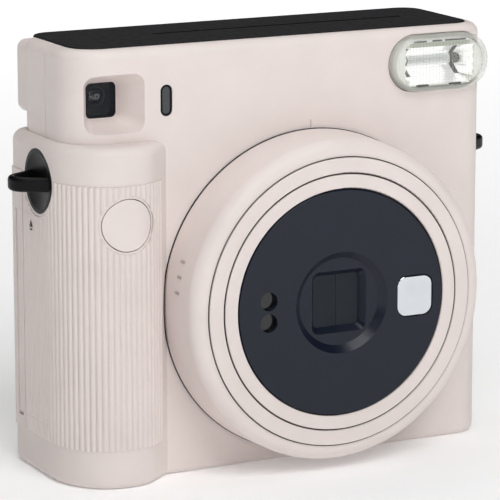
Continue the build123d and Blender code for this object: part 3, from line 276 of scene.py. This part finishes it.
def flash_cover():
    """The flash's clear cover: its solid rim looks milkier than the window inside it."""
    g = see_through("flash_clear", linear(238, 238, 232), 0.05, front=0.05, wall=0.26)
    rim_alpha, rim_width, rim_fade = 0.45, 1.7, 0.5
    (low_x, _, low_z), (high_x, _, high_z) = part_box("flash_window")
    long, tall = (high_x - low_x) / MM, (high_z - low_z) / MM
    x, _, z = g.axes(g.generated)
    # How far a point lies from the middle line of the pill, in millimetres
    across = g.math("MULTIPLY", g.math("ABSOLUTE", g.math("SUBTRACT", x, 0.5)), long)
    across = g.math("MAXIMUM", g.math("SUBTRACT", across, (long - tall) / 2), 0.0)
    up = g.math("MULTIPLY", g.math("SUBTRACT", z, 0.5), tall)
    square = g.math("ADD", g.math("MULTIPLY", across, across), g.math("MULTIPLY", up, up))
    rim_start = tall / 2 - rim_width
    rim = g.range(g.math("SQRT", square), 0.0, rim_alpha, rim_start, rim_start + rim_fade)
    alpha = g.shader.inputs["Alpha"]
    g.link(g.math("MAXIMUM", alpha.links[0].from_socket, rim), alpha)
    return g.material


def ribbed_plate():
    """The flash's lens plate: fine crossed ribs in clear plastic."""
    g = Graph("flash_ribbed")
    g.flow_lines(linear(240, 240, 228), 0.96, 0.05)
    ribs = g.math("MAXIMUM", g.waves(scale=420.0, direction="Z"),
                  g.waves(scale=300.0, direction="X"))
    g.link(g.range(ribs, 0.02, 0.16, start=0.8, end=1.0), g.shader.inputs["Alpha"])
    g.bump(ribs, strength=0.1, distance=0.00005)
    return g.material


SHELL = linear(232, 221, 217)
shell = moulded("shell_plastic", SHELL, 0.5)
# The grip, the dial and the barrels get painted shade in their grooves and joints.
grip = moulded("grip_plastic", shade(SHELL, 0.985), 0.54, grain=2600.0, strength=0.6,
               joints=0.0003, gap_shade_amount=0.35)
dial = moulded("dial_plastic", shade(SHELL, 1.01), 0.46, grain=3600.0, strength=0.4, joints=0.001)
ring = moulded("barrel_plastic", SHELL, 0.44, grain=3800.0, strength=0.35, joints=0.001)
inner_black = moulded("inner_black", linear(22, 22, 24), 0.6, spread=0.12)
trim_black = moulded("trim_black", linear(13, 13, 16), 0.38, spread=0.1, shine=0.14)
pack_black = moulded("pack_black", linear(24, 24, 25), 0.55, spread=0.1)
plate_black = grained("plate_black", linear(23, 22, 25), 0.6)
white_plastic = moulded("white_plastic", linear(225, 224, 218), 0.45)
mark_grey = moulded("mark_grey", linear(70, 66, 66), 0.5)
mark_faint = moulded("mark_faint", linear(194, 182, 179), 0.5)
face_black = gloss("face_black", linear(15, 22, 38), 0.34, coat=0.0, shine=0.37)
cover_metal = gloss("cover_metal", linear(15, 26, 36), 0.4, coat=0.0, shine=0.3)
board = gloss("circuit_board", linear(20, 82, 48), 0.35, coat=0.2)
sleeve = gloss("capacitor_sleeve", linear(28, 30, 62), 0.3, coat=0.3)
cell_wrap = gloss("cell_wrap", linear(96, 102, 110), 0.3, coat=0.3)
film = gloss("film_sheet", linear(205, 205, 200), 0.22, coat=0.3)
steel = brushed("drawn_steel", (0.56, 0.57, 0.59, 1.0), 0.32)
brass = brushed("turned_brass", (0.72, 0.55, 0.25, 1.0), 0.3)
mirror = polished("mirror_plate", (0.7, 0.73, 0.76, 1.0), 0.06)
# The reflector's glow is painted light, standing in for the bright studio it reflects.
reflector = polished("reflector_plate", (0.98, 0.985, 0.97, 1.0), 0.2, metal=0.55, glow=0.27)
smoked = see_through("smoked_window", linear(16, 22, 38), 0.04, front=0.22, wall=0.9).material
meter_glass = gloss("meter_glass", linear(46, 50, 52), 0.2, coat=0.2)
sensor_glass = gloss("sensor_glass", linear(9, 10, 13), 0.14, coat=0.3)
lens_glass = refracting("lens_glass", (0.97, 0.985, 1.0, 1.0), 0.01, ior=1.6)
coated = gloss("coated_lens", linear(24, 30, 52), 0.06, coat=1.0, shine=1.0)
# The bezel's glow is painted light, standing in for light scattered through the milky plastic.
flash_milky = moulded("flash_milky", linear(214, 217, 209), 0.3, glow=0.18)
flash_clear = flash_cover()
flash_ribbed = ribbed_plate()

FINISHES = {
    shell: ["front_cover", "rear_cover", "back_door", "shutter_button"],
    grip: ["grip_cover", "battery_door"],
    dial: ["lens_dial"],
    ring: ["outer_barrel", "inner_barrel"],
    plate_black: ["top_plate"],
    face_black: ["lens_face"],
    mirror: ["selfie_mirror"],
    sensor_glass: ["sensor_windows"],
    smoked: ["finder_window", "eyepiece_lens", "door_windows"],
    meter_glass: ["meter_window"],
    cover_metal: ["lens_cover_left", "lens_cover_right", "shutter_blade_left",
                  "shutter_blade_right"],
    lens_glass: ["front_lens", "rear_lens", "flash_tube"],
    flash_clear: ["flash_window"],
    reflector: ["flash_reflector"],
    trim_black: ["strap_lugs", "eyepiece_frame", "door_latch"],
    inner_black: ["lens_seat", "dark_chamber", "film_chassis", "finder_tunnel", "cover_track",
                  "shutter_plate", "shutter_cover", "battery_holder", "exit_flap"],
    pack_black: ["film_pack"],
    film: ["film_sheets"],
    steel: ["roller_brackets", "drive_roller", "pinch_roller", "motor", "gear_plate", "pick_claw",
            "pressure_springs", "battery_contacts", "button_spring", "case_screws", "hinge_pins"],
    brass: ["motor_pinion"],
    white_plastic: ["roller_gear", "reduction_gear", "counter_disc"],
    board: ["main_board", "flash_board", "shutter_switch"],
    sleeve: ["flash_capacitor"],
    cell_wrap: ["batteries"],
}
for finish, names in FINISHES.items():
    for node_name in names:
        nodes[node_name].data.materials.clear()
        nodes[node_name].data.materials.append(finish)


# Shapes for the small visible pieces, in millimetres


def place(name, mesh, material, body="case"):
    """Link a finished mesh, which rides on a body and takes the given finish."""
    mesh.materials.clear()
    mesh.materials.append(material)
    obj = bpy.data.objects.new(name, mesh)
    bpy.context.scene.collection.objects.link(obj)
    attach(obj, body)
    return obj


def middle(node):
    """The middle of a CAD node's box, in millimetres."""
    low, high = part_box(node)
    return [(a + b) / 2 / MM for a, b in zip(low, high)]


def front_of(node):
    """The Y of a CAD node's front, in millimetres."""
    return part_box(node)[0][1] / MM


def arc(x, z, radius, start, end, steps=10):
    """Points along an arc in X and Z, angles in degrees."""
    angles = [math.radians(start + (end - start) * i / steps) for i in range(steps + 1)]
    return [(x + radius * math.cos(a), z + radius * math.sin(a)) for a in angles]


def circle(x, z, radius, points=24):
    """The outline of a round plate or hole, which closes itself."""
    return arc(x, z, radius, 0, 360 - 360 / points, points - 1)


def rounded(x, z, width, height, radius):
    """A rectangle with round corners; a radius of half the height makes a pill."""
    dx, dz = width / 2 - radius, height / 2 - radius
    return (arc(x + dx, z + dz, radius, 0, 90) + arc(x - dx, z + dz, radius, 90, 180)
            + arc(x - dx, z - dz, radius, 180, 270) + arc(x + dx, z - dz, radius, 270, 360))


def full_turn(steps):
    """Angles of a full turn, with the first one again at the end."""
    return [2 * math.pi * i / steps for i in range(steps + 1)]


def hoop(x, y, z, radius, steps):
    """Points of a ring round an axis along X."""
    return [(x, y + radius * math.cos(a), z + radius * math.sin(a)) for a in full_turn(steps)]


def sheet_across(outlines, y_front, thick, bevel=0.0):
    """A flat plate facing the front, from an outline in X and Z and the outlines of its holes."""
    curve = bpy.data.curves.new("outline", "CURVE")
    curve.dimensions = "2D"
    curve.fill_mode = "BOTH"
    curve.extrude = (thick / 2 - bevel) * MM
    curve.bevel_depth = bevel * MM
    curve.bevel_resolution = 2
    curve.offset = -bevel * MM
    for outline in outlines:
        spline = curve.splines.new("POLY")
        spline.points.add(len(outline) - 1)
        for point, (x, z) in zip(spline.points, outline):
            point.co = (x * MM, z * MM, 0.0, 1.0)
        spline.use_cyclic_u = True
    flat = bpy.data.objects.new("outline", curve)
    mesh = bpy.data.meshes.new_from_object(flat)
    bpy.data.objects.remove(flat)
    mesh.transform(Matrix.Rotation(math.pi / 2, 4, "X"))
    mesh.transform(Matrix.Translation((0.0, (y_front + thick / 2) * MM, 0.0)))
    return mesh


def skin(rows, thick):
    """A thin wall along rows of points, closed where its ends meet, and given thickness."""
    same_point = 0.0001 * MM
    bm = bmesh.new()
    grid = [[bm.verts.new([c * MM for c in point]) for point in row] for row in rows]
    for low, high in zip(grid, grid[1:]):
        for a, b, c, d in zip(low, low[1:], high[1:], high):
            bm.faces.new((a, b, c, d))
    bmesh.ops.remove_doubles(bm, verts=bm.verts, dist=same_point)
    bmesh.ops.recalc_face_normals(bm, faces=bm.faces)
    bmesh.ops.solidify(bm, geom=bm.faces[:], thickness=thick * MM)
    bmesh.ops.recalc_face_normals(bm, faces=bm.faces)
    mesh = bpy.data.meshes.new("skin")
    bm.to_mesh(mesh)
    bm.free()
    return mesh


def join(meshes):
    """One mesh from several."""
    bm = bmesh.new()
    for mesh in meshes:
        bm.from_mesh(mesh)
    whole = bpy.data.meshes.new("joined")
    bm.to_mesh(whole)
    bm.free()
    return whole


# Flash. Lengths along X and heights along Z are measured from the middle of its window.

BOWL_HALF = 6.0  # half height of the reflector's mouth in its middle
BOWL_REACH = 9.6  # where that height ends
END_HALF = 4.6  # half height of the mouth at its two ends
END_REACH = 11.0
TROUGH_END = 7.0  # where the straight trough ends
FAN_START, FAN_HALF = 8.6, 3.9  # the folded fan at each end: its inner edge and half height
FOIL = 0.25


def flash():
    """Reflector with a trough and fan-shaped ends, bezel, lens plate, clips, tube ends and black
    strips of painted shade behind it.
    """
    flash_x, _, flash_z = middle("flash_window")
    front = front_of("flash_window")
    tube_y = middle("flash_tube")[1]
    mouth_y = front + 1.5
    floor_y = tube_y + 2.0

    def depth(z):
        """Y of the reflector's curve at a height."""
        return floor_y - (z / BOWL_HALF) ** 2 * (floor_y - mouth_y)

    def strip(x_ends, z_steps, y_shift=0.0):
        """A strip of the curve, between places along the tube."""
        rows = [[(flash_x + x, depth(z) + y_shift, flash_z + z) for z in z_steps] for x in x_ends]
        return skin(rows, FOIL)

    def heights(half, steps=12):
        """Heights from as far below the middle to as far above it."""
        return [half * i / steps for i in range(-steps, steps + 1)]

    walls = [strip((-TROUGH_END, 0.0, TROUGH_END), heights(BOWL_HALF))]
    edge_steps, folds, fold_depth, fan_lift = 4, 8, 0.45, 0.4
    for side in (-1, 1):
        ends = (side * TROUGH_END, side * BOWL_REACH)
        for up in (-1, 1):
            edge = [up * (FAN_HALF + (BOWL_HALF - FAN_HALF) * i / edge_steps)
                    for i in range(edge_steps + 1)]
            walls.append(strip(ends, edge))
        inner, outer = [], []
        for i in range(folds + 1):
            share = 2 * i / folds - 1
            inner_z = FAN_HALF * share
            outer_x = END_REACH - (fold_depth if i % 2 else 0.0)
            inner_y = depth(inner_z) - fan_lift
            inner.append((flash_x + side * FAN_START, inner_y, flash_z + inner_z))
            outer.append((flash_x + side * outer_x, mouth_y, flash_z + END_HALF * share))
        walls.append(skin([inner, outer], 0.2))
    bowl = place("flash_bowl", join(walls), reflector)
    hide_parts("flash_reflector")

    rim = rounded(flash_x, flash_z, width=27.4, height=12.7, radius=6.3)
    cross = [(BOWL_REACH, BOWL_HALF), (-BOWL_REACH, BOWL_HALF),
             (-BOWL_REACH, END_HALF), (-END_REACH, END_HALF),
             (-END_REACH, -END_HALF), (-BOWL_REACH, -END_HALF),
             (-BOWL_REACH, -BOWL_HALF), (BOWL_REACH, -BOWL_HALF),
             (BOWL_REACH, -END_HALF), (END_REACH, -END_HALF),
             (END_REACH, END_HALF), (BOWL_REACH, END_HALF)]
    opening = [(flash_x + x, flash_z + z) for x, z in cross]
    bezel = sheet_across([rim, opening], mouth_y, thick=4.2, bevel=0.08)
    place("flash_bezel", bezel, flash_milky)
    plate = rounded(flash_x, flash_z, width=22.0, height=11.7, radius=1.2)
    lens_plate = sheet_across([plate], mouth_y - 0.3, thick=0.2)
    place("flash_lens_plate", lens_plate, flash_ribbed)

    clips = []
    clip_rise, clip_height = 6.2, 0.5
    clip_ends = {1: ((-8.3, -4.4), (-2.4, 0.6), (1.6, 8.2)), -1: ((-7.4, -3.6), (3.0, 6.8))}
    for up, places in clip_ends.items():
        clip_z = flash_z + clip_rise * up
        for start, end in places:
            clip_x = flash_x + (start + end) / 2
            clip = rounded(clip_x, clip_z, end - start, clip_height, radius=0.1)
            clips.append(sheet_across([clip], front + 1.15, thick=0.3))
    place("flash_clips", join(clips), trim_black)

    # Painted shade: black strips 0.5 mm behind the reflector, across the gaps between the trough
    # and the fans.
    shadow_half, overlap = 4.4, 0.2
    dark = [strip((side * (TROUGH_END - overlap), side * (FAN_START + overlap)),
                  heights(shadow_half), y_shift=0.5) for side in (-1, 1)]
    # The tube's end caps as places along X with their radius, and the wires that leave them
    cap = ((7.4, 0.05), (7.5, 0.8), (9.2, 1.1), (9.6, 0.9), (9.7, 0.05))
    wires = ((-0.7, 0.13), (2.6, 0.08), (-3.6, 0.09))
    wire_start, wire_run, wire_fall, wire_steps = 9.5, 1.2, 5.0, 6
    for side in (-1, 1):
        dark.append(skin([hoop(flash_x + side * x, tube_y, flash_z, radius, 20)
                          for x, radius in cap], 0.05))
        for rise, gauge in wires:
            rows = []
            for i in range(wire_steps + 1):
                share = i / wire_steps
                x = flash_x + side * (wire_start + wire_run * share)
                y, z = tube_y - wire_fall * share, flash_z + rise * share
                rows.append(hoop(x, y, z, gauge, 8))
            dark.append(skin(rows, 0.03))
    # The caps and wires are real parts; the strips that go with them are painted shade.
    place("flash_tube_ends_and_shade", join(dark), trim_black)


# Viewfinder, light meter and small marks


def finder():
    """A lip round the viewfinder's window, and the lens in its tunnel with its holder."""
    x, y, z = middle("finder_window")
    lip = [rounded(x, z, width=9.4, height=10.1, radius=1.75),
           rounded(x, z, width=8.9, height=9.6, radius=1.5)]
    lip_y = front_of("finder_window") - 0.6
    place("finder_lip", sheet_across(lip, lip_y, thick=0.6, bevel=0.1), shell)

    lens_x, lens_z = x + 0.8, z + 0.3
    holder = [rounded(x, z, width=9.8, height=9.4, radius=1.0), circle(lens_x, lens_z, 2.6)]
    holder_plate = sheet_across(holder, y + 4.2, thick=0.8, bevel=0.1)
    place("finder_lens_holder", holder_plate, inner_black)
    bead = [circle(lens_x, lens_z, 2.75), circle(lens_x, lens_z, 2.45)]
    bead_ring = sheet_across(bead, y + 3.9, thick=0.4, bevel=0.1)
    place("finder_lens_ring", bead_ring, mark_grey)

    ball_radius, widest, steps = 4.2, 36, 8  # a cap of a ball, this many degrees to its edge
    rows = []
    for i in range(steps + 1):
        tilt = math.radians(widest) * i / steps
        radius = ball_radius * math.sin(tilt)
        lens_y = y + 3.5 + ball_radius * (1 - math.cos(tilt))
        rows.append([(lens_x + radius * math.cos(a), lens_y, lens_z + radius * math.sin(a))
                     for a in full_turn(28)])
    place("finder_lens", skin(rows, 0.3), coated)
    spot = [circle(lens_x, lens_z, 0.75), circle(lens_x, lens_z, 0.5)]
    place("finder_target", sheet_across(spot, y + 3.2, thick=0.1), white_plastic)


def meter():
    """A black rim on the light meter's window."""
    x, _, z = middle("meter_window")
    loops = [rounded(x, z, width=3.3, height=8.4, radius=1.65),
             rounded(x, z, width=2.2, height=7.3, radius=1.1)]
    rim = sheet_across(loops, front_of("meter_window") - 0.12, thick=0.3, bevel=0.06)
    place("meter_rim", rim, trim_black)


def door_arrow():
    """A plain arrow over a bar, under the left lug."""
    arrow_y, arrow_z, proud, thick = 10.3, 69.4, 0.08, 0.22
    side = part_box("battery_door")[0][0] / MM
    arrow = sheet_across([[(-0.8, -0.8), (0.8, -0.8), (0.0, 1.0)]], 0.0, thick)
    bar = sheet_across([rounded(0.0, -1.5, width=1.2, height=0.4, radius=0.15)], 0.0, thick)
    mark = join([arrow, bar])
    mark.transform(Matrix.Rotation(-math.pi / 2, 4, "Z"))
    mark.transform(Matrix.Translation(((side - proud) * MM, arrow_y * MM, arrow_z * MM)))
    place("battery_door_arrow", mark, mark_grey, "battery_lid")


def dial_marks():
    """An index line over the dial, a black ring of painted shade behind its edge and a bar for
    each of its positions.
    """
    x, _, z = middle("lens_dial")
    low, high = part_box("lens_dial")
    radius = (high[2] - low[2]) / 2 / MM
    dial_front, dial_back = low[1] / MM, high[1] / MM
    cover_front = front_of("front_cover")
    line = rounded(x, z + radius + 1.5, width=0.35, height=2.0, radius=0.15)
    place("index_line", sheet_across([line], cover_front - 0.04, thick=0.3), mark_faint)
    # Painted shade: a black ring just behind the dial's edge, so the gap round the dial reads
    # dark.
    shade_ring_outlines = [circle(x, z, radius + 0.16, 120), circle(x, z, radius - 1.5, 120)]
    shade_ring = sheet_across(shade_ring_outlines, dial_back + 0.06, thick=cover_front - dial_back - 0.08)
    place("dial_gap_shade", shade_ring, inner_black)

    sunk, half_angle, bar_y, length = 0.02, 0.3, dial_front + 9.0, 2.0
    bars = []
    for angle in (162.5, 168, 173.5):
        edge = arc(x, z, radius - sunk, angle - half_angle, angle + half_angle, 2)
        rows = [[(edge_x, y, edge_z) for edge_x, edge_z in edge] for y in (bar_y, bar_y + length)]
        bars.append(skin(rows, 0.06))
    place("dial_marks", join(bars), mark_faint, "dial")


flash()
finder()
meter()
door_arrow()
dial_marks()


# Camera and light


def camera():
    """The view from the left of the lens, a little above it, with a long lens."""
    azimuth, pitch = -0.4698, 0.2128  # radians
    lens_to_width = 6.21466  # focal length over sensor width
    data = bpy.data.cameras.new("camera")
    data.sensor_width = 36.0
    data.lens = lens_to_width * data.sensor_width
    data.clip_start = 0.05
    data.clip_end = 20.0
    eye = bpy.data.objects.new("camera", data)
    eye.location = (-0.3844, -0.7488, 0.2396)
    eye.rotation_euler = (math.pi / 2 - pitch, 0.0, azimuth)
    bpy.context.scene.collection.objects.link(eye)
    bpy.context.scene.camera = eye


def soft_box(name, where, size, power):
    """A square soft light aimed at the middle of the object."""
    data = bpy.data.lights.new(name, "AREA")
    data.shape = "SQUARE"
    data.size = size
    data.energy = power
    lamp = bpy.data.objects.new(name, data)
    lamp.location = where
    aim = Vector((0.0, 0.0, 0.06)) - Vector(where)
    lamp.rotation_euler = aim.to_track_quat("-Z", "Y").to_euler()
    bpy.context.scene.collection.objects.link(lamp)


def floor():
    """A pale floor, with a soft glow that is dimmer near the object."""
    reach, glow_far, glow_near = 12.0, 0.72, 0.16
    mesh = bpy.data.meshes.new("floor")
    corners = [(-reach, -reach, 0), (reach, -reach, 0), (reach, reach, 0), (-reach, reach, 0)]
    mesh.from_pydata(corners, [], [(0, 1, 2, 3)])
    obj = bpy.data.objects.new("floor", mesh)
    bpy.context.scene.collection.objects.link(obj)
    g = Graph("floor_paper")
    g.colour(g.ramp(g.noise(scale=3.0), grey(0.94), grey(0.96)))
    g.set(Roughness=0.9, Specular_IOR_Level=0.1, Emission_Color=grey(1.0))
    nearness = g.tree.nodes.new("ShaderNodeTexGradient")
    nearness.gradient_type = "SPHERICAL"
    g.link(g.coordinates, nearness.inputs["Vector"])
    glow = g.range(nearness.outputs["Fac"], glow_far, glow_near, start=0.0, end=0.9)
    g.link(glow, g.shader.inputs["Emission Strength"])
    mesh.materials.append(g.material)


def backdrop():
    """A world that is bright up to just above the horizon, and dark over that."""
    bright, fade_start, fade_end = 0.9, 0.08, 0.15
    world = bpy.data.worlds.new("studio")
    world.use_nodes = True
    tree = world.node_tree
    background = tree.nodes["Background"]
    background.inputs["Color"].default_value = grey(1.0)
    sky = tree.nodes.new("ShaderNodeTexCoord")
    split = tree.nodes.new("ShaderNodeSeparateXYZ")
    fade = tree.nodes.new("ShaderNodeMapRange")
    for socket, value in (("From Min", fade_start), ("From Max", fade_end),
                          ("To Min", bright), ("To Max", 0.0)):
        fade.inputs[socket].default_value = value
    tree.links.new(sky.outputs["Generated"], split.inputs["Vector"])
    tree.links.new(split.outputs["Z"], fade.inputs["Value"])
    tree.links.new(fade.outputs["Result"], background.inputs["Strength"])
    bpy.context.scene.world = world


camera()
floor()
backdrop()
soft_box("key", (-0.1, -1.1, 1.35), size=1.1, power=17.8)
soft_box("fill", (-0.6, -1.1, 0.5), size=0.3, power=0.9)
soft_box("top", (0.0, 0.3, 1.6), size=1.2, power=9.5)
bpy.context.scene.view_settings.view_transform = "Standard"
